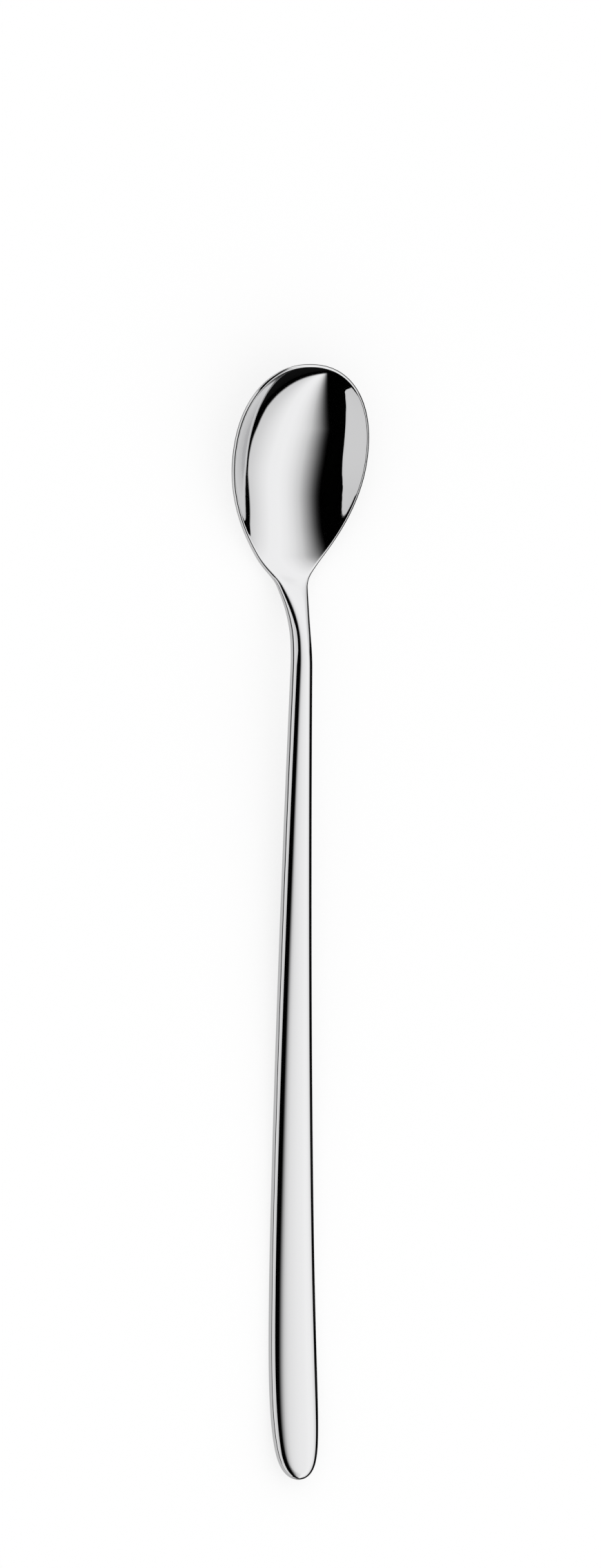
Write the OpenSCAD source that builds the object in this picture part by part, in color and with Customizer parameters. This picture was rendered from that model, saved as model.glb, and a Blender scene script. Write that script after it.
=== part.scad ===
// Iced tea spoon in polished stainless steel, forged in one piece from a flat blank.
// It lies on a table with its bowl up: +Y runs along it towards the bowl's tip, and +Z is up.
// Both the bottom of the bowl and the low stretch of the handle touch the table, which is Z = 0.
// "Distance" below always means the distance from the bowl's tip, measured along the table.

/* [Bowl] */
// Width of the bowl at its widest place
bowl_w = 29.6; // [26:0.2:34]
// Distance of the bowl's widest place from its tip
bowl_front_l = 18; // [15:0.5:22]
// Length over which the bowl's sides close in behind its widest place
bowl_back_l = 28; // [24:0.5:34]
// Depth of the hollow under the rim
bowl_depth = 5.9; // [5.2:0.1:8]
// Thickness of the metal at the bottom of the bowl
bowl_t = 1; // [0.8:0.05:1.4]
// Thickness of the metal at the bowl's rim
rim_t = 0.8; // [0.6:0.05:1.1]
// Height that the rim climbs from the bowl's widest place to its tip
rim_rise = 5; // [3:0.1:6.5]

/* [Neck] */
// Length of the flare that spreads the shaft into the bowl
flare_l = 9; // [7:0.5:13]
// Width that the flare adds to each side of the shaft where the bowl's sides would meet
flare_w = 0.9; // [0.6:0.1:1.5]
// Distance from the lowest place of the neck to where the bowl's sides would meet
dip_l = 6; // [4:0.1:8]
// Length over which the neck climbs from there to the shoulder
climb_l = 12.8; // [10:0.2:18]

/* [Handle] */
// Length of the shaft and handle behind the place where the bowl's sides would meet
handle_l = 174; // [110:1:200]
// Width of the shaft at its slimmest place
shaft_w = 4.4; // [3.6:0.1:5.2]
// Width that the handle's even taper would reach at its end, before the end is rounded
handle_w = 11.5; // [9:0.1:14]
// Radius of the handle's end, seen from above
end_r = 3.4; // [2.6:0.1:4.2]
// Thickness of the shaft and handle at their edges
edge_t = 2.6; // [2:0.1:3]
// Height of the dome across the top of the handle where it is widest
crown_h = 0.5; // [0.2:0.05:0.8]
// Height of the flatter dome across its underside
belly_h = 0.15; // [0:0.05:0.4]

/* [Side view of the handle] */
// Distance from the place where the bowl's sides would meet to the crest of the shaft
crest_l = 14; // [12:0.5:20]
// Height that the crest stands above the handle's lowest place
crest_rise = 6.1; // [4:0.1:8]
// Length of the upturned stretch at the handle's end
upturn_l = 38; // [26:1:50]
// Height that the upturned end climbs
upturn_rise = 2.5; // [1:0.1:4]

/* [Hidden] */

// Softness of the joins: how far each one reaches, measured across the two lines that it joins
outline_join = 1;
dip_join = 1.8;
shoulder_join = 4.4;

// Powers of the curves that shape the spoon
front_power_share = 2.2; // outline of the bowl's front, where 2 is an ellipse
knee_share = 0.735; // how far out the hollow's round dish bends up into its straight wall
wall_slope_share = 2.1; // how steep that wall is, beside the bowl's depth over half its width
wall_fade_share = 4.5; // how soon the wall runs out towards the neck
knee_round_share = 0.016; // how softly dish and wall meet
heel_power_share = 2.5; // how fast the hollow runs out towards the neck
crest_power_share = 1.5; // fall of the handle from its crest
upturn_power_share = 3; // rise of the handle's end
crown_power_share = 5; // how the dome across the handle steepens towards its edges
end_power_share = 2.2; // how tightly the round end meets the handle's sides

// The rounded edge of the handle, and the lip of the bowl, which lies square to the bowl's wall
edge_in = 1.3;
lip_lean_share = 0.7;
lip_in = rim_t * sqrt(1 - pow(lip_lean_share, 2));
lip_out = 0.1;
lip_h = rim_t * lip_lean_share;
lip_round = 0.16;
round_share = 4 / 3;

// Counts of the facets
front_rings = 14;
back_rings = 26;
handle_rings = 24;
end_rings = 12;
top_steps = 22;
under_steps = 16;
edge_steps = 5;

// Distances from the tip
bowl_l = bowl_front_l + bowl_back_l;
total_l = bowl_l + handle_l;
slim_at = bowl_l + flare_l;
dip_at = bowl_l - dip_l;
crest_at = bowl_l + crest_l;
low_at = total_l - upturn_l;
thicken_from = bowl_front_l + bowl_back_l / 2;
rounding_l = end_r * 4;
finger_step = 0.02 * rim_t;

function mix(a, b, share) = a + (b - a) * share;
function ease(share) = let (s = min(max(share, 0), 1)) s * s * (3 - 2 * s);
function reach(a, b, soft) = let (h = max(soft - abs(a - b), 0) / soft) h * h * soft / 4;
function soft_max(a, b, soft) = max(a, b) + reach(a, b, soft);
function soft_min(a, b, soft) = min(a, b) - reach(a, b, soft);
function unit(v) = v / norm(v);

// How far the metal has changed from bowl to shaft at a distance: 0 in the bowl, 1 on the shaft
function shaft_share(at) = ease((at - thicken_from) / (slim_at - thicken_from));

// How much of its full width the bowl has at a distance, with its outline drawn in by an inset
function bowl_share(at, inset = 0) =
    at < bowl_front_l
        ? pow(max(1 - pow(min((bowl_front_l - at) / (bowl_front_l - inset), 1), front_power_share), 0),
              1 / front_power_share)
        : 1 - pow((at - bowl_front_l) / bowl_back_l, 2);

// Half-width of the even taper, with the flare that spreads it into the bowl
function taper(at) =
    mix(shaft_w, handle_w, (at - slim_at) / (total_l - slim_at)) / 2
        + flare_w * pow(max(slim_at - at, 0) / flare_l, 2);

// Half-width of the round end, with its outline drawn in by an inset. It opens out fast behind the end,
// so that it no longer tells on the handle's sides beyond the rounding.
function round_end(at, inset) =
    let (left = max(total_l - inset - at, 0))
        sqrt(2 * (end_r - inset) * left) * (1 + pow(left / rounding_l / 2, 2));

function ended(side, nose) =
    nose <= 0 ? 0 : pow(pow(side, -end_power_share) + pow(nose, -end_power_share), -1 / end_power_share);

// Half-width of the spoon at a distance, with the whole outline drawn in by an inset
function side(at, inset) =
    let (bowl = bowl_w / 2 * bowl_share(at))
        (at < thicken_from ? bowl : soft_max(bowl, taper(at), outline_join)) - inset;
function half_width(at, inset) =
    at < bowl_front_l
        ? (bowl_w / 2 - inset) * bowl_share(at, inset)
        : ended(side(at, inset), round_end(at, inset));

// Height of the hollow's share of the depth at a distance: full at the widest place, none on the shaft
function hollow_share(at, inset) =
    at < bowl_l ? pow(bowl_share(at, inset), at < bowl_front_l ? 2 : heel_power_share) : 0;

// Inset of the top and bottom faces from the outline, and their height over and under the edge's middle
function top_inset(at) = mix(lip_in + lip_out, edge_in, shaft_share(at));
function under_inset(at) = mix(lip_out, edge_in, shaft_share(at));
function edge_half(at) = mix(lip_h, edge_t, shaft_share(at)) / 2;

// Height of the edge's middle seen from the side, before the bowl is set down on the table
rim_slope_share = rim_rise / bowl_front_l;
function rim_line(at) = (bowl_front_l - at) * rim_slope_share;
function handle_line(at) =
    edge_t / 2 + belly_h
        + (at < low_at
            ? crest_rise * pow((low_at - at) / (low_at - crest_at), crest_power_share)
            : upturn_rise * pow((at - low_at) / upturn_l, upturn_power_share));

// The rim stands at the height that sets the bottom of the bowl on the table
under_depth = bowl_depth + bowl_t - lip_h;
bowl_drop = max([for (i = [0 : back_rings])
    let (at = bowl_front_l + bowl_back_l * i / back_rings)
    if (at < dip_at)
        under_depth * hollow_share(at, lip_out) + edge_half(at) - rim_line(at)]);
dip_h = bowl_drop + rim_line(dip_at);
shoulder_at = dip_at + climb_l;
climb_slope_share = (handle_line(shoulder_at) - dip_h) / climb_l;
function climb_line(at) = dip_h + (at - dip_at) * climb_slope_share;
function edge_height(at) =
    soft_max(bowl_drop + rim_line(at),
             soft_min(climb_line(at), handle_line(at), shoulder_join), dip_join);

// Heights of the top and bottom faces at a distance and a place across
function across(x, half) = half <= 0 ? 1 : min(abs(x) / half, 1);

// Section of the hollow: a round dish with a straight wall, whose knee runs out to the rim at both ends
function walled_share(at) =
    at < bowl_front_l ? bowl_share(at) : at < bowl_l ? pow(bowl_share(at), wall_fade_share) : 0;
function hollow_line(u, walled) =
    let (knee = mix(1, knee_share, walled), dish = (1 - wall_slope_share * (1 - knee)) / pow(knee, 2))
        soft_max(dish * pow(u, 2), 1 - wall_slope_share * (1 - u), knee_round_share)
            / soft_max(dish, 1, knee_round_share);

function dome_share(at, inset) =
    at < thicken_from
        ? 0
        : shaft_share(at) * pow(half_width(at, inset), 2) / side(at, inset) / (handle_w / 2 - inset);
function top_height(x, at) =
    let (inset = top_inset(at), u = across(x, half_width(at, inset)))
        edge_height(at) + edge_half(at)
            - bowl_depth * hollow_share(at, inset) * (1 - hollow_line(u, walled_share(at)))
            + crown_h * dome_share(at, inset) * (1 - (pow(u, 2) + pow(u, crown_power_share)) / 2);
function under_height(x, at) =
    let (inset = under_inset(at), u = across(x, half_width(at, inset)))
        edge_height(at) - edge_half(at)
            - under_depth * hollow_share(at, inset) * (1 - hollow_line(u, walled_share(at)))
            - belly_h * dome_share(at, inset) * (1 - pow(u, 2));

// Distance of a ring from the tip: close together at both round ends and round the neck
last_ring = front_rings + back_rings + handle_rings + end_rings;
neck_end = slim_at + flare_l;
end_from = total_l - rounding_l;
function ring_at(ring, inset) =
    ring <= front_rings
        ? mix(inset, bowl_front_l, 1 - cos(90 * ring / front_rings))
    : ring <= front_rings + back_rings
        ? mix(bowl_front_l, neck_end, (ring - front_rings) / back_rings)
    : ring <= last_ring - end_rings
        ? mix(neck_end, end_from, (ring - front_rings - back_rings) / handle_rings)
        : mix(end_from, total_l - inset, sin(90 * (ring - last_ring + end_rings) / end_rings));

function is_top(side) = side > 0;
function ring_inset(ring, side) =
    let (at = ring_at(ring, 0)) is_top(side) ? top_inset(at) : under_inset(at);
function face_place(ring, share, side) =
    let (inset = ring_inset(ring, side), at = ring_at(ring, inset), x = share * half_width(at, inset))
        face_point(x, at, side);
function face_point(x, at, side) =
    [x, total_l / 2 - at, is_top(side) ? top_height(x, at) : under_height(x, at)];

// Direction in which a face runs outwards over its edge, square to the outline seen from above
function edge_run(ring, hand, side) =
    let (here = face_place(ring, hand, side),
         before = ring > 0 ? face_place(ring - 1, hand, side) : face_place(1, -hand, side),
         after = ring < last_ring ? face_place(ring + 1, hand, side) : face_place(last_ring - 1, -hand, side),
         along = after - before,
         out = unit([-along[1], along[0]]) * hand,
         inner = face_point(
             here[0] - out[0] * finger_step, total_l / 2 - here[1] + out[1] * finger_step, side))
        unit(here - inner);

// Points round the edge, from the top face down to the bottom face
function edge_place(ring, step, hand) =
    let (at = ring_at(ring, 0), share = step / edge_steps,
         a = face_place(ring, hand, 1), b = face_place(ring, hand, -1),
         round = round_share * mix(lip_round, edge_in, shaft_share(at)),
         p = a + edge_run(ring, hand, 1) * round, q = b + edge_run(ring, hand, -1) * round)
        a * pow(1 - share, 3) + 3 * p * pow(1 - share, 2) * share
            + 3 * q * (1 - share) * pow(share, 2) + b * pow(share, 3);

// One ring of points: the top face from left to right, the right edge, the underside, the left edge
function ring_points(ring) = concat(
    [for (i = [0 : top_steps]) face_place(ring, 2 * i / top_steps - 1, 1)],
    [for (k = [1 : edge_steps - 1]) edge_place(ring, k, 1)],
    [for (i = [0 : under_steps]) face_place(ring, 1 - 2 * i / under_steps, -1)],
    [for (k = [edge_steps - 1 : -1 : 1]) edge_place(ring, k, -1)]);
ring_count = top_steps + under_steps + 2 * edge_steps;

// At the two ends a ring shrinks to the short line down the middle of the edge
function end_points(ring) = concat(
    [face_place(ring, 0, 1)],
    [for (k = [1 : edge_steps - 1]) edge_place(ring, k, 1)],
    [face_place(ring, 0, -1)]);
function end_index(i) =
    i <= top_steps ? 0
    : i <= top_steps + edge_steps ? i - top_steps
    : i <= top_steps + edge_steps + under_steps ? edge_steps
    : ring_count - i;
end_count = edge_steps + 1;
function index(ring, i) =
    let (j = i % ring_count)
        ring == 0 ? end_index(j)
        : ring == last_ring ? end_count + (last_ring - 1) * ring_count + end_index(j)
        : end_count + (ring - 1) * ring_count + j;
function sound(face) = face[0] != face[1] && face[1] != face[2] && face[2] != face[0];

module spoon() {
    points = concat(
        end_points(0),
        [for (ring = [1 : last_ring - 1]) each ring_points(ring)],
        end_points(last_ring));
    faces = [for (ring = [0 : last_ring - 1], i = [0 : ring_count - 1])
        let (a = index(ring, i), b = index(ring, i + 1), c = index(ring + 1, i + 1), d = index(ring + 1, i))
            each [for (face = [[a, b, c], [a, c, d]]) if (sound(face)) face]];
    color("silver") polyhedron(points = points, faces = faces, convexity = 6);
}

spoon();
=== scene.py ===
# Iced tea spoon in mirror-polished steel, lying on a pale table in soft studio light.
import math
from functools import cached_property
from types import SimpleNamespace

import bpy
from mathutils import Matrix, Vector


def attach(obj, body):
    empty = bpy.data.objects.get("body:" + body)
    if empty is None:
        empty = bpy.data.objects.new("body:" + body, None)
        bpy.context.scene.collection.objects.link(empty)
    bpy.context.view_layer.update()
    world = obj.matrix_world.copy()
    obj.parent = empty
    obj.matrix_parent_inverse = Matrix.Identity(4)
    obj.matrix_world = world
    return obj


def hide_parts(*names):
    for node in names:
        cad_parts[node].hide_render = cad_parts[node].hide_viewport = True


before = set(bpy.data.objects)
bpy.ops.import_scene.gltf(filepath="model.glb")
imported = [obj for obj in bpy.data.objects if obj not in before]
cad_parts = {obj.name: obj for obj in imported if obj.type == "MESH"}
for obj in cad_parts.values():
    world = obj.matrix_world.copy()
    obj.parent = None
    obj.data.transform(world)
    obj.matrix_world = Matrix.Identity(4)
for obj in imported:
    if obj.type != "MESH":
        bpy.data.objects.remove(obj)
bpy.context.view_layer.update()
print("frame loaded:", sorted(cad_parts))


# A socket of a node tree that can be used in sums
class Wire:
    def __init__(self, tree, socket):
        self.tree, self.socket = tree, socket

    def math(self, operation, *values):
        return self.tree.add("ShaderNodeMath", {"operation": operation}, list(values))

    def __add__(self, other): return self.math("ADD", self, other)
    def __radd__(self, other): return self.math("ADD", other, self)
    def __sub__(self, other): return self.math("SUBTRACT", self, other)
    def __rsub__(self, other): return self.math("SUBTRACT", other, self)
    def __mul__(self, other): return self.math("MULTIPLY", self, other)
    def __rmul__(self, other): return self.math("MULTIPLY", other, self)
    def __truediv__(self, other): return self.math("DIVIDE", self, other)
    def __rtruediv__(self, other): return self.math("DIVIDE", other, self)
    def __pow__(self, other): return self.math("POWER", self, other)
    def __rpow__(self, other): return self.math("POWER", other, self)
    def __lt__(self, other): return self.math("LESS_THAN", self, other)
    def __gt__(self, other): return self.math("GREATER_THAN", self, other)
    def __neg__(self): return self.math("MULTIPLY", self, -1)
    def __abs__(self): return self.math("ABSOLUTE", self)

    def sin(self): return self.math("SINE", self)
    def root(self): return self.math("SQRT", self)
    def sign(self): return self.math("SIGN", self)
    def atLeast(self, other): return self.math("MAXIMUM", self, other)
    def atMost(self, other): return self.math("MINIMUM", self, other)
    def other(self, name): return Wire(self.tree, self.socket.node.outputs[name])


# Adds nodes to a material, world or geometry tree
class Tree:
    def __init__(self, nodeTree):
        self.nodes, self.links = nodeTree.nodes, nodeTree.links

    def add(self, kind, settings=None, values=(), output=0):
        node = self.nodes.new(kind)
        for name, value in (settings or {}).items():
            if name == "stops":
                self.setStops(node.color_ramp, value)
            else:
                setattr(node, name, value)
        pairs = values.items() if isinstance(values, dict) else enumerate(values)
        for key, value in pairs:
            if isinstance(value, Wire):
                self.links.new(value.socket, node.inputs[key])
            else:
                node.inputs[key].default_value = value
        return Wire(self, node.outputs[output]) if len(node.outputs) else node

    def setStops(self, ramp, stops):
        while len(ramp.elements) < len(stops):
            ramp.elements.new(1)
        for element, (place, level) in zip(ramp.elements, stops):
            element.position = place
            element.color = (level, level, level, 1) if isinstance(level, (int, float)) else (*level, 1)


def mix(a, b, share): return a + (b - a) * share


def ease(share):
    s = share.atLeast(0).atMost(1)
    return s * s * (3 - 2 * s)


def reach(a, b, soft):
    h = (soft - abs(a - b)).atLeast(0) / soft
    return h * h * soft / 4


def softMax(a, b, soft): return a.atLeast(b) + reach(a, b, soft)
def softMin(a, b, soft): return a.atMost(b) - reach(a, b, soft)


def pick(test, yes, no):
    return test.tree.add("GeometryNodeSwitch", {"input_type": "FLOAT"}, [test, no, yes])


# Sizes of the spoon in millimetres. Distances run from the bowl's tip along the table.
spoonSizes = {
    "bowlWidth": 29.6,
    "bowlFront": 18,        # from the tip to the widest place
    "bowlBack": 28,         # from there to where the bowl's sides would meet
    "bowlDepth": 5.9,
    "bottomThickness": 1,
    "rimThickness": 0.8,
    "rimHeight": 7.63,      # middle of the rim at the bowl's widest place, above the table
    "rimRise": 5,           # climb of the rim from there to the tip
    "flareLength": 9,
    "flareWidth": 0.9,
    "dipLength": 6,
    "climbLength": 12.8,
    "handleLength": 174,
    "shaftWidth": 4.4,
    "handleWidth": 11.5,
    "endRadius": 3.4,
    "edgeThickness": 2.6,
    "crownHeight": 0.5,
    "bellyHeight": 0.15,
    "crestLength": 14,
    "crestRise": 6.1,
    "upturnLength": 38,
    "upturnRise": 2.5,
    "outlineJoin": 1,       # how softly lines run into each other
    "dipJoin": 1.8,
    "shoulderJoin": 4.4,
    "edgeInset": 1.3,       # width of the rounding along the handle
    "lipOutset": 0.1,
    "lipRound": 0.16,
}
spoonCurves = {             # powers of the curves, and shares of lengths
    "front": 2.2,
    "knee": 0.735,          # how far out the hollow's round dish bends up into its straight wall
    "wallSlope": 2.1,       # how steep its wall is, beside its depth over half its width
    "wallFade": 4.5,        # how soon the wall runs out towards the neck
    "kneeRound": 0.016,     # how softly dish and wall meet
    "heel": 2.5,            # how fast the hollow runs out towards the neck
    "crest": 1.5,
    "upturn": 3,
    "crown": 5,
    "end": 2.2,
    "lipLean": 0.7,
    "round": 4 / 3,
}
spoonMesh = {
    "rings": 420,           # along the spoon
    "stepsRound": 161,      # round each ring, an odd number
    "frontUntil": 0.22,     # share of the rings up to the bowl's widest place,
    "neckUntil": 0.6,       # to the slim shaft,
    "handleUntil": 0.86,    # and to the rounding of the end
    "topUntil": 0.44,       # share of a half ring on the top face,
    "edgeUntil": 0.64,      # and on the edge
    "nudge": 0.001,         # share of the length between two places that give a direction
    "finger": 0.02,         # share of the rim's thickness for a slope
    "weld": 2e-7,           # metres within which points of the seams become one
}


# The spoon's surface as a rule, in the same terms as a side view and a top view of it
class SpoonRule:
    def __init__(self, size):
        self.size = size
        self.lean = spoonCurves["lipLean"]

    @cached_property
    def bowlLength(self): return self.size.bowlFront + self.size.bowlBack
    @cached_property
    def totalLength(self): return self.bowlLength + self.size.handleLength
    @cached_property
    def slimAt(self): return self.bowlLength + self.size.flareLength
    @cached_property
    def neckEnd(self): return self.slimAt + self.size.flareLength
    @cached_property
    def roundingLength(self): return self.size.endRadius * 4
    @cached_property
    def endFrom(self): return self.totalLength - self.roundingLength
    @cached_property
    def dipAt(self): return self.bowlLength - self.size.dipLength
    @cached_property
    def crestAt(self): return self.bowlLength + self.size.crestLength
    @cached_property
    def lowAt(self): return self.totalLength - self.size.upturnLength
    @cached_property
    def thickenFrom(self): return self.size.bowlFront + self.size.bowlBack / 2
    @cached_property
    def lipHeight(self): return self.size.rimThickness * self.lean
    @cached_property
    def lipInset(self): return self.size.rimThickness * math.sqrt(1 - self.lean ** 2) + self.size.lipOutset
    @cached_property
    def underDepth(self): return self.size.bowlDepth + self.size.bottomThickness - self.lipHeight
    @cached_property
    def dipHeight(self): return self.size.rimHeight + self.rimLine(self.dipAt)

    @cached_property
    def climbSlope(self):
        shoulder = self.handleLine(self.dipAt + self.size.climbLength)
        return (shoulder - self.dipHeight) / self.size.climbLength

    def shaftShare(self, at): return ease((at - self.thickenFrom) / (self.slimAt - self.thickenFrom))

    def bowlShare(self, at, inset):
        front, s = spoonCurves["front"], self.size
        nose = ((s.bowlFront - at) / (s.bowlFront - inset)).atLeast(0).atMost(1)
        ahead = (1 - nose ** front).atLeast(0) ** (1 / front)
        past = (at - s.bowlFront) / s.bowlBack
        return pick(at < s.bowlFront, ahead, 1 - past * past)

    def taper(self, at):
        s = self.size
        flare = (self.slimAt - at).atLeast(0) / s.flareLength
        run = (at - self.slimAt) / (self.totalLength - self.slimAt)
        return mix(s.shaftWidth, s.handleWidth, run) / 2 + s.flareWidth * flare * flare

    def roundEnd(self, at, inset):
        left = (self.totalLength - inset - at).atLeast(0)
        opening = left / self.roundingLength / 2
        return (2 * (self.size.endRadius - inset) * left).root() * (1 + opening * opening)

    # Outline of a face that is drawn in by an inset
    def side(self, at, inset):
        bowl = self.size.bowlWidth / 2 * self.bowlShare(at, 0)
        return pick(at < self.thickenFrom, bowl, softMax(bowl, self.taper(at), self.size.outlineJoin)) - inset

    def halfWidth(self, at, inset, side):
        power = spoonCurves["end"]
        bowl = (self.size.bowlWidth / 2 - inset) * self.bowlShare(at, inset)
        ended = (side ** -power + self.roundEnd(at, inset) ** -power) ** (-1 / power)
        return pick(at < self.size.bowlFront, bowl, ended)

    def inset(self, at, isTop):
        lip = self.lipInset if isTop else self.size.lipOutset
        return mix(lip, self.size.edgeInset, self.shaftShare(at))

    # Middle of the edge, seen from the side
    def rimLine(self, at): return (self.size.bowlFront - at) * (self.size.rimRise / self.size.bowlFront)

    def handleLine(self, at):
        s = self.size
        ahead = ((self.lowAt - at).atLeast(0) / (self.lowAt - self.crestAt)) ** spoonCurves["crest"]
        behind = ((at - self.lowAt).atLeast(0) / s.upturnLength) ** spoonCurves["upturn"]
        return s.edgeThickness / 2 + s.bellyHeight + s.crestRise * ahead + s.upturnRise * behind

    def edgeHeight(self, at):
        climb = self.dipHeight + (at - self.dipAt) * self.climbSlope
        shaft = softMin(climb, self.handleLine(at), self.size.shoulderJoin)
        return softMax(self.size.rimHeight + self.rimLine(at), shaft, self.size.dipJoin)

    # Height of the top or bottom face at a place across and a distance from the tip
    def height(self, across, at, isTop):
        s, thick = self.size, self.shaftShare(at)
        inset = self.inset(at, isTop)
        side = self.side(at, inset)
        half = self.halfWidth(at, inset, side)
        u = (across / half).atMost(1)
        share = self.bowlShare(at, inset).atLeast(0)
        hollow = pick(at < self.bowlLength, share ** pick(at < s.bowlFront, 2, spoonCurves["heel"]), 0)
        full = pick(at < self.bowlLength, self.bowlShare(at, 0).atLeast(0), 0)
        walled = full ** pick(at < s.bowlFront, 1, spoonCurves["wallFade"])
        slope, soft = spoonCurves["wallSlope"], spoonCurves["kneeRound"]
        knee = mix(1, spoonCurves["knee"], walled)
        dish = (1 - slope * (1 - knee)) / (knee * knee)
        rise = softMax(dish * u * u, 1 - slope * (1 - u), soft) / softMax(dish, 1, soft)
        dip = hollow * (1 - rise)
        dome = pick(at < self.thickenFrom, 0, thick * half * half / side / (s.handleWidth / 2 - inset))
        edge, halfEdge = self.edgeHeight(at), mix(self.lipHeight, s.edgeThickness, thick) / 2
        if isTop:
            crown = dome * (1 - (u * u + u ** spoonCurves["crown"]) / 2)
            return edge + halfEdge - s.bowlDepth * dip + s.crownHeight * crown
        return edge - halfEdge - self.underDepth * dip - s.bellyHeight * dome * (1 - u * u)

    # Distance from the tip of a share of the rings: close together at both round ends and round the neck
    def station(self, along, inset):
        a, b, c = spoonMesh["frontUntil"], spoonMesh["neckUntil"], spoonMesh["handleUntil"]
        s, quarter = self.size, math.pi / 2
        sweep = (along / a * quarter / 2).sin()
        front = mix(inset, s.bowlFront, 2 * sweep * sweep)
        neck = mix(s.bowlFront, self.neckEnd, (along - a) / (b - a))
        handle = mix(self.neckEnd, self.endFrom, (along - b) / (c - b))
        end = mix(self.endFrom, self.totalLength - inset, ((along - c) / (1 - c) * quarter).sin())
        return pick(along < a, front, pick(along < b, neck, pick(along < c, handle, end)))

    # Right-hand boundary of a face; beyond either end of the spoon it comes back on the left
    def boundary(self, along, isTop):
        hand = along.sign() * (1 - along).sign()
        inside = 1 - abs(1 - abs(along))
        inset = self.inset(self.station(inside, 0), isTop)
        at = self.station(inside, inset)
        return hand * self.halfWidth(at, inset, self.side(at, inset)), at

    def outline(self, along): return *self.boundary(along, True), *self.boundary(along, False)
    def topHeight(self, across, at): return [self.height(across, at, True)]
    def underHeight(self, across, at): return [self.height(across, at, False)]
    def thickness(self, along): return [self.shaftShare(self.station(along, 0))]


# Puts one method of the rule into a node group of its own, with the spoon's sizes as named inputs
def makeRuleGroup(name, arguments, results):
    group = bpy.data.node_groups.new(name, "GeometryNodeTree")
    for argument in [*arguments, *spoonSizes]:
        group.interface.new_socket(argument, in_out="INPUT", socket_type="NodeSocketFloat")
    for result in results:
        group.interface.new_socket(result, in_out="OUTPUT", socket_type="NodeSocketFloat")
    tree = Tree(group)
    given = tree.add("NodeGroupInput")
    rule = SpoonRule(SimpleNamespace(**{size: given.other(size) for size in spoonSizes}))
    tree.add("NodeGroupOutput", None, getattr(rule, name)(*[given.other(argument) for argument in arguments]))
    return group


class SpoonShape:
    def __init__(self, tree, size):
        self.tree, self.size = tree, size
        self.groups = {
            "outline": makeRuleGroup("outline", ["along"], ["topAcross", "topAt", "underAcross", "underAt"]),
            "topHeight": makeRuleGroup("topHeight", ["across", "at"], ["height"]),
            "underHeight": makeRuleGroup("underHeight", ["across", "at"], ["height"]),
            "thickness": makeRuleGroup("thickness", ["along"], ["share"])}

    def ask(self, name, *arguments):
        values = [*arguments, *[getattr(self.size, size) for size in spoonSizes]]
        return self.tree.add("GeometryNodeGroup", {"node_tree": self.groups[name]}, values)

    # End of a face at its boundary, with the direction in which it runs out over the edge
    def faceEnd(self, here, before, after, isTop):
        face = "top" if isTop else "under"
        acrossName, atName, heightName = face + "Across", face + "At", face + "Height"
        goneAcross = after.other(acrossName) - before.other(acrossName)
        goneAlong = after.other(atName) - before.other(atName)
        gone = (goneAcross * goneAcross + goneAlong * goneAlong).root()
        outAcross, outBack = goneAlong / gone, -(goneAcross / gone)
        finger = self.size.rimThickness * spoonMesh["finger"]
        across, at = abs(here.other(acrossName)), here.other(atName)
        height = self.ask(heightName, across, at)
        inner = self.ask(heightName, across - outAcross * finger, at - outBack * finger)
        slope = (height - inner) / finger
        length = (1 + slope * slope).root()
        return (across, at, height), (outAcross / length, outBack / length, slope / length)

    # Point of the right half of the spoon: 0 to 1 along it, and 0 to 1 from its top round to its underside
    def point(self, along, around):
        topUntil, edgeUntil, nudge = spoonMesh["topUntil"], spoonMesh["edgeUntil"], spoonMesh["nudge"]
        near = [self.ask("outline", place) for place in (along, along - nudge, along + nudge)]
        (topEnd, topRun), (underEnd, underRun) = self.faceEnd(*near, True), self.faceEnd(*near, False)
        topAcross = topEnd[0] * (around / topUntil)
        underAcross = underEnd[0] * ((1 - around) / (1 - edgeUntil))
        top = topAcross, topEnd[1], self.ask("topHeight", topAcross, topEnd[1])
        under = underAcross, underEnd[1], self.ask("underHeight", underAcross, underEnd[1])
        thick = self.ask("thickness", along)
        rounding = spoonCurves["round"] * mix(self.size.lipRound, self.size.edgeInset, thick)
        t = ((around - topUntil) / (edgeUntil - topUntil)).atLeast(0).atMost(1)
        r = 1 - t
        found = []
        for a, b, runA, runB, onTop, onUnder in zip(topEnd, underEnd, topRun, underRun, top, under):
            p, q = a + runA * rounding, b + runB * rounding
            edge = a * r * r * r + 3 * p * r * r * t + 3 * q * r * t * t + b * t * t * t
            found.append(pick(around < topUntil, onTop, pick(around < edgeUntil, edge, onUnder)))
        return found


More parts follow.
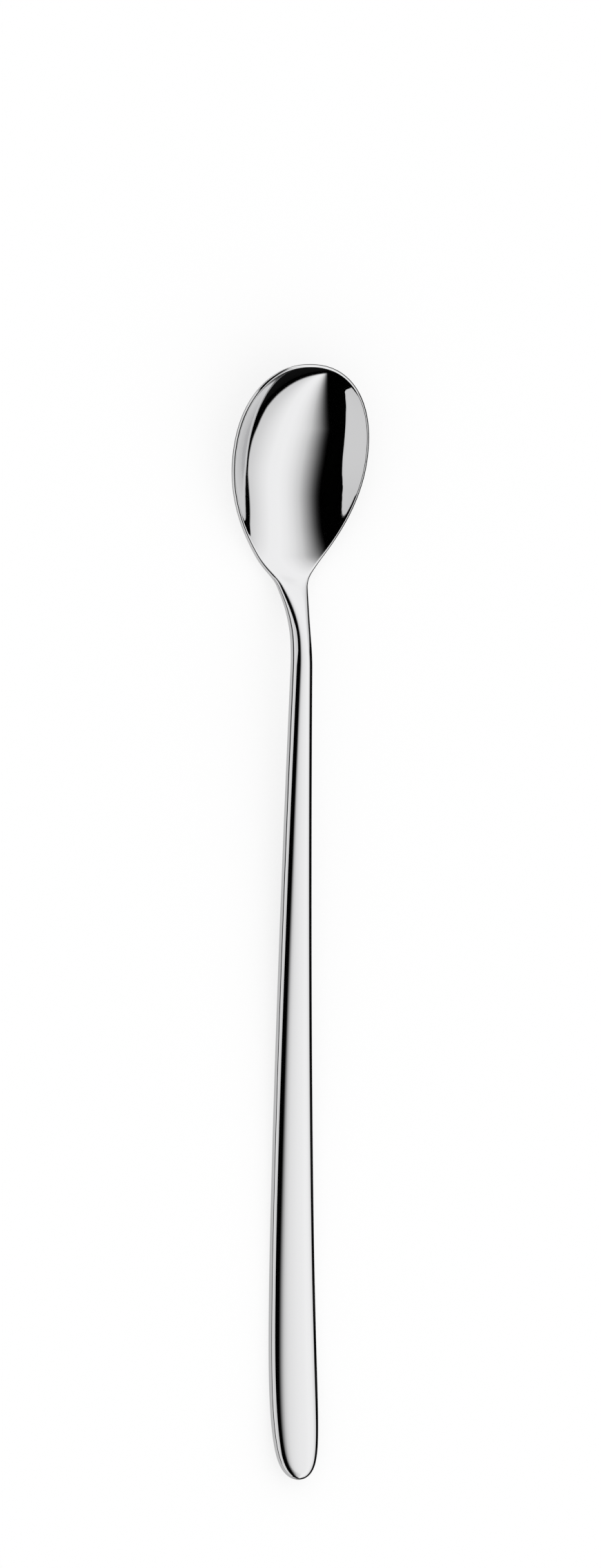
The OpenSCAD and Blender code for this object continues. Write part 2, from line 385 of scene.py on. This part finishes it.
def makeSpoonTree(material):
    group = bpy.data.node_groups.new("spoonShape", "GeometryNodeTree")
    tree = Tree(group)
    for name, value in spoonSizes.items():
        socket = group.interface.new_socket(name, in_out="INPUT", socket_type="NodeSocketFloat")
        socket.default_value = value
    group.interface.new_socket("Geometry", in_out="OUTPUT", socket_type="NodeSocketGeometry")
    given = tree.add("NodeGroupInput")
    size = SimpleNamespace(**{name: given.other(name) for name in spoonSizes})

    grid = tree.add("GeometryNodeMeshGrid", None, {
        "Size X": 1, "Size Y": 2, "Vertices X": spoonMesh["rings"], "Vertices Y": spoonMesh["stepsRound"]})
    place = tree.add("ShaderNodeSeparateXYZ", None, [tree.add("GeometryNodeInputPosition")])
    along, around = place + 0.5, place.other("Y")
    across, at, height = SpoonShape(tree, size).point(along, abs(around))
    metre, middle = 0.001, SpoonRule(size).totalLength / 2
    position = tree.add("ShaderNodeCombineXYZ", None, [
        across * around.sign() * metre, (middle - at) * metre, height * metre])
    shaped = tree.add("GeometryNodeSetPosition", None, {"Geometry": grid, "Position": position})
    closed = tree.add("GeometryNodeMergeByDistance", None, {
        "Geometry": shaped, "Distance": spoonMesh["weld"]})
    smooth = tree.add("GeometryNodeSetShadeSmooth", None, {"Geometry": closed, "Shade Smooth": True})
    real = tree.add("GeometryNodeRealizeInstances", None, {"Geometry": smooth})
    covered = tree.add("GeometryNodeSetMaterial", None, {"Geometry": real, "Material": material})
    tree.add("NodeGroupOutput", None, [covered])
    return group


# Runs a geometry tree and keeps its result as a plain mesh
def meshFromTree(name, group, sizes):
    maker = bpy.data.objects.new(name + "Maker", bpy.data.meshes.new(name + "Maker"))
    bpy.context.scene.collection.objects.link(maker)
    modifier = maker.modifiers.new("shape", "NODES")
    modifier.node_group = group
    for item in group.interface.items_tree:
        if item.in_out == "INPUT" and item.name in sizes:
            modifier[item.identifier] = float(sizes[item.name])
    evaluated = maker.evaluated_get(bpy.context.evaluated_depsgraph_get())
    mesh = bpy.data.meshes.new_from_object(evaluated)
    bpy.data.objects.remove(maker)
    mesh.name = name
    piece = bpy.data.objects.new(name, mesh)
    bpy.context.scene.collection.objects.link(piece)
    return piece


steelFinish = {
    "colour": (0.66, 0.66, 0.665),
    "roughness": 0.035,
    "roughnessSpread": 0.02,
    "markLength": 0.02,     # metres along the spoon
    "markWidth": 0.0006,
    "markDepth": 0.0000004,
    "markRoughness": 0.55,
    "cloudScale": 60,       # per metre, for the broad changes in the polish
}


def makeSteel():
    material = bpy.data.materials.new("polishedSteel")
    material.use_nodes = True
    material.node_tree.nodes.clear()
    tree = Tree(material.node_tree)
    f = steelFinish
    spot = tree.add("ShaderNodeTexCoord", None, (), "Object")
    stretched = tree.add("ShaderNodeMapping", None, {
        "Vector": spot, "Scale": (1 / f["markWidth"], 1 / f["markLength"], 1 / f["markWidth"])})
    marks = tree.add("ShaderNodeTexNoise", None, {
        "Vector": stretched, "Scale": 1, "Detail": 3, "Roughness": f["markRoughness"]})
    clouds = tree.add("ShaderNodeTexNoise", None, {"Vector": spot, "Scale": f["cloudScale"], "Detail": 2})
    roughness = f["roughness"] + f["roughnessSpread"] * (0.5 * marks + 0.5 * clouds - 0.5)
    bump = tree.add("ShaderNodeBump", None, {"Strength": 1, "Distance": f["markDepth"], "Height": marks})
    steel = tree.add("ShaderNodeBsdfPrincipled", None, {
        "Base Color": (*f["colour"], 1), "Metallic": 1, "Roughness": roughness, "Normal": bump})
    tree.add("ShaderNodeOutputMaterial", None, {"Surface": steel})
    return material


steel = makeSteel()
spoon = meshFromTree("spoonPolished", makeSpoonTree(steel), spoonSizes)
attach(spoon, "root")
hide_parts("spoon")
print("spoon made:", len(spoon.data.polygons), "faces")


# Light round the object as the polished metal sees it. Angles are in degrees. "Across" is measured from
# straight up, in the plane across the spoon, and grows towards its left. "Round" is measured on the table
# from the direction of the handle, and grows towards the spoon's right.
studioLight = {
    "plainLevel": 0.62,     # what everything that isn't polished is lit with
    "gain": 1.5,            # strength of the lights against the levels, which are as the steel shows them
    "overhead": [           # turned across, and the grey level of the wide light overhead
        (-90, 0.50), (-82, 0.58), (-72, 0.64), (-60, 0.76), (-49, 0.85), (-36, 0.86), (-26, 0.81),
        (-18, 0.72), (-10, 0.58), (-5, 0.42), (0.5, 0.25), (3.5, 0.16), (6.5, 0.08), (8.5, 0.045),
        (10, 0.021), (12, 0.006), (14, 0), (90, 0)],
    "panel": [              # across, and the grey level of the lower panel on the left
        (-90, 0), (48.4, 0), (49.2, 0.55), (55, 0.58), (61, 0.61), (67, 0.66), (74, 0.71), (82, 0.70),
        (90, 0.67)],
    "panelEnds": (-125, -14.8),     # round
    "panelLean": 1.5,       # how far the panel's upper edge turns over the spoon beyond the tip
    "panelLeanFrom": 0.07,  # where that starts and how long it goes on, as shares of the height
    "panelLeanUntil": 0.26,
    "panelCut": 0.44,       # height share above which the panel has its far end, below it runs on
    "tipTurn": 0.24,        # how far the overhead light's edge runs out to the right beyond the handle
    "tipFrom": 1.0,         # where that starts, as a share of the height
    "neckTurn": 0.1,        # the same beyond the tip
    "neckUntil": 0.5,       # where that stops growing, as a share of the height
    "horizon": [            # round, and the height in degrees below which the studio is dark
        (-180, -5), (-125, -5), (-110, 6.5), (-72, 6.5), (-60, -5), (-16, -5), (-14, 3), (35, 4),
        (45, 4.2), (52, 5), (57, 7), (61, 8.7), (67, 9.8), (72, 11.2), (78, 12.8), (86, 14), (96, 14),
        (99, 6), (102, -5), (180, -5)],
    "horizonEdge": 40,      # how sharply the light starts above it
}


def makeWorld():
    world = bpy.data.worlds.new("studio")
    bpy.context.scene.world = world
    world.use_nodes = True
    world.node_tree.nodes.clear()
    tree = Tree(world.node_tree)
    light = studioLight
    spot = tree.add("ShaderNodeSeparateXYZ", None, [tree.add("ShaderNodeTexCoord", None, (), "Generated")])
    x, y, z = spot, spot.other("Y"), spot.other("Z")

    def levelAt(angle, levels, span):   # from stops over that many degrees, half of them to each side of zero
        stops = [(0.5 + degrees / span, level) for degrees, level in levels]
        return tree.add("ShaderNodeValToRGB", {"stops": stops}, [angle / math.radians(span) + 0.5])

    beyondHandle = (-y - light["tipFrom"] * z).atLeast(0)
    beyondTip = y.atLeast(0).atMost(light["neckUntil"] * z)
    turned = light["tipTurn"] * beyondHandle - light["neckTurn"] * beyondTip - x
    overhead = levelAt(turned.math("ARCTAN2", turned, z), light["overhead"], 180)
    past = (y + light["panelLeanFrom"] * z).atLeast(0).atMost(light["panelLeanUntil"] * z)
    lean = light["panelLean"] * past
    across, bearing = x.math("ARCTAN2", lean - x, z), x.math("ARCTAN2", x, -y)
    first, last = [math.radians(degrees) for degrees in light["panelEnds"]]
    inside = (first < bearing).atLeast(z < light["panelCut"]) * (bearing < last)
    panel = levelAt(across, light["panel"], 180) * inside

    def heightAt(tops):   # share of the way up to the zenith, from stops in degrees round and degrees up
        stops = [(degrees, 0.5 + math.sin(math.radians(up)) / 2) for degrees, up in tops]
        return levelAt(bearing, stops, 360) * 2 - 1

    clear = ((z - heightAt(light["horizon"])) * light["horizonEdge"] + 0.5).atLeast(0).atMost(1)
    ray = tree.add("ShaderNodeLightPath")
    plain = tree.add("ShaderNodeBackground", None, {"Color": (1, 1, 1, 1), "Strength": light["plainLevel"]})
    mirrored = tree.add("ShaderNodeBackground", None, {
        "Color": (1, 1, 1, 1), "Strength": overhead.atLeast(panel) * clear * light["gain"]})
    white = tree.add("ShaderNodeBackground", None, {"Color": (1, 1, 1, 1), "Strength": 1})
    lit = tree.add("ShaderNodeMixShader", None, [ray.other("Is Glossy Ray"), plain, mirrored])
    seen = tree.add("ShaderNodeMixShader", None, [ray.other("Is Camera Ray"), lit, white])
    tree.add("ShaderNodeOutputWorld", None, {"Surface": seen})


makeWorld()
print("studio light made")

tableTop = {
    "size": 6,              # metres
    "colour": (0.8, 0.8, 0.8),
    "shadowShare": 0.3,     # how much of the white seen by the camera can be shaded
    "mirrored": [           # metres to the spoon's right, and the grey level that the steel sees there: a painted reflection, with painted light in a strip just left of the spoon and painted shade elsewhere
        (-0.25, 0.005), (-0.045, 0.01), (-0.035, 0.48), (-0.012, 0.52), (-0.001, 0.40), (0.004, 0.005),
        (0.25, 0.003)],
    "paintedReflectionReach": 0.25,  # metres to each side
}


def makeTable():
    half = tableTop["size"] / 2
    corners = [(-half, -half, 0), (half, -half, 0), (half, half, 0), (-half, half, 0)]
    mesh = bpy.data.meshes.new("tableTop")
    mesh.from_pydata(corners, [], [(0, 1, 2, 3)])
    table = bpy.data.objects.new("tableTop", mesh)
    bpy.context.scene.collection.objects.link(table)
    material = bpy.data.materials.new("paleTable")
    material.use_nodes = True
    material.node_tree.nodes.clear()
    tree = Tree(material.node_tree)
    share, level = tableTop["shadowShare"], studioLight["plainLevel"]
    ray = tree.add("ShaderNodeLightPath")
    shaded = tree.add("ShaderNodeBsdfDiffuse", None, {"Color": (*[share / level] * 3, 1)})
    glow = tree.add("ShaderNodeEmission", None, {"Color": (1, 1, 1, 1), "Strength": 1 - share})
    seen = tree.add("ShaderNodeAddShader", None, [shaded, glow])
    plain = tree.add("ShaderNodeBsdfDiffuse", None, {"Color": (*tableTop["colour"], 1)})
    across = tree.add("ShaderNodeSeparateXYZ", None, [tree.add("ShaderNodeTexCoord", None, (), "Object")])
    span = 2 * tableTop["paintedReflectionReach"]
    stops = [(0.5 + metres / span, grey) for metres, grey in tableTop["mirrored"]]
    levels = tree.add("ShaderNodeValToRGB", {"stops": stops}, [across / span + 0.5])
    # Glossy rays see the table glow with a painted reflection: painted light beside the spoon's left, painted
    # shade round it
    mirrored = tree.add("ShaderNodeEmission", None, {"Color": levels, "Strength": studioLight["gain"]})
    unseen = tree.add("ShaderNodeMixShader", None, [ray.other("Is Glossy Ray"), plain, mirrored])
    surface = tree.add("ShaderNodeMixShader", None, [ray.other("Is Camera Ray"), unseen, seen])
    tree.add("ShaderNodeOutputMaterial", None, {"Surface": surface})
    mesh.materials.append(material)


makeTable()
print("table made")

photoCamera = {
    "lean": 25,             # degrees that the camera stands to the spoon's left of straight above
    "roll": 0.334,          # degrees that the spoon's tip leans left in the frame
    "aim": (0.003088, 0.02727, 0),  # metres
    "frameHeight": 0.3097,  # metres of the scene from the bottom of the frame to its top
    "distance": 4,          # metres from the point aimed at; from further away, the other views would be cut off
    "sensor": 36,
    "clip": (0.1, 20),
}


def makeCamera():
    c = photoCamera
    lean, roll = math.radians(c["lean"]), math.radians(c["roll"])
    back = Vector((-math.sin(lean), 0, math.cos(lean)))
    right, up = Vector((math.cos(lean), 0, math.sin(lean))), Vector((0, 1, 0))
    data = bpy.data.cameras.new("photoCamera")
    data.sensor_width = c["sensor"]
    data.lens = data.sensor_width * c["distance"] / c["frameHeight"]
    data.clip_start, data.clip_end = c["clip"]
    camera = bpy.data.objects.new("photoCamera", data)
    bpy.context.scene.collection.objects.link(camera)
    sideways = right * math.cos(roll) - up * math.sin(roll)
    upwards = up * math.cos(roll) + right * math.sin(roll)
    turned = Matrix((sideways, upwards, back)).transposed().to_4x4()
    camera.matrix_world = Matrix.Translation(Vector(c["aim"]) + back * c["distance"]) @ turned
    bpy.context.scene.camera = camera


makeCamera()
bpy.context.scene.view_settings.view_transform = "Standard"
print("camera set")
